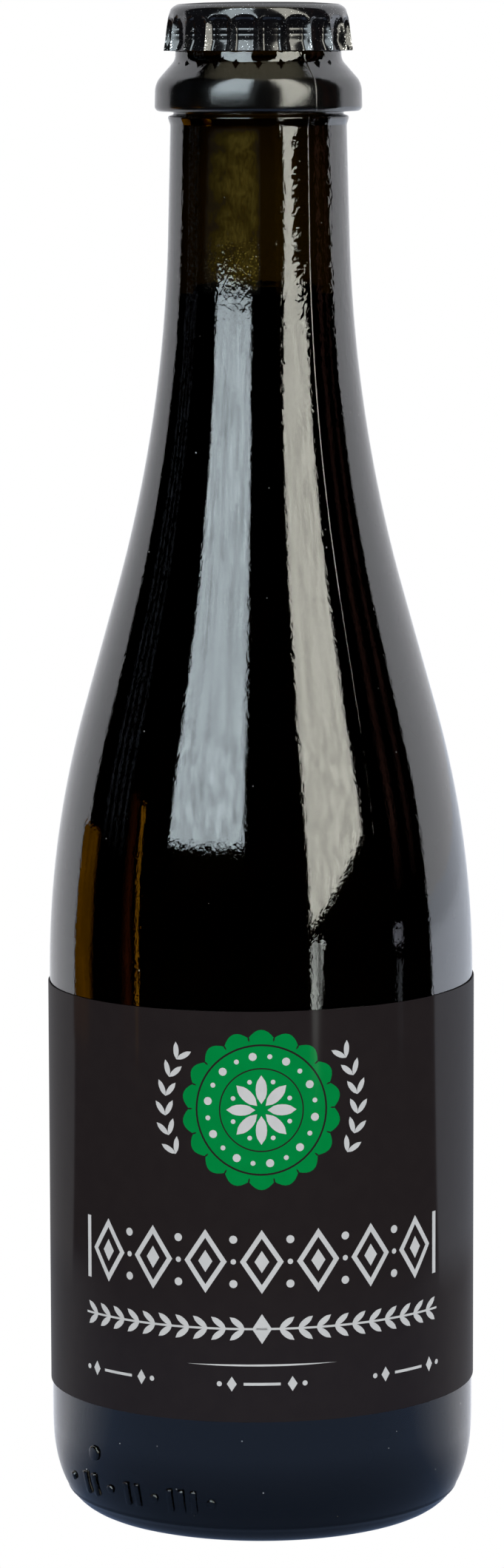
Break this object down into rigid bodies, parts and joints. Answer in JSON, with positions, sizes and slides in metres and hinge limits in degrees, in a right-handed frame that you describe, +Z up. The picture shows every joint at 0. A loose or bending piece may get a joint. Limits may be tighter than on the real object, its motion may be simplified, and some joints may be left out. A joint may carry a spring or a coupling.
{
  "type": "beer bottle",
  "caption": "Capped beer bottle of dark green-brown glass with sloping shoulders, a domed base, a fluted crown cap, a wrap-round dark paper label and stout inside.",
  "frame": {"origin": "centre of the ring that the bottle stands on, at floor level", "axes": "+Z up along the bottle's axis, -Y towards the middle of the label's front, +X to the right seen from the front"},
  "size_m": [0.066, 0.0657, 0.2328],
  "materials": {
    "glass": "clear, smooth dark green-brown bottle glass with faint mould seams",
    "beer": "near-black stout seen through the glass",
    "steel": "glossy black lacquered steel",
    "paper": "semi-matt charcoal printed paper with light grey and green ornaments"
  },
  "bodies": {
    "root": {"bottle": "glass", "beer": "beer", "crown_cap": "steel", "label": "paper"}
  },
  "joints": []
}
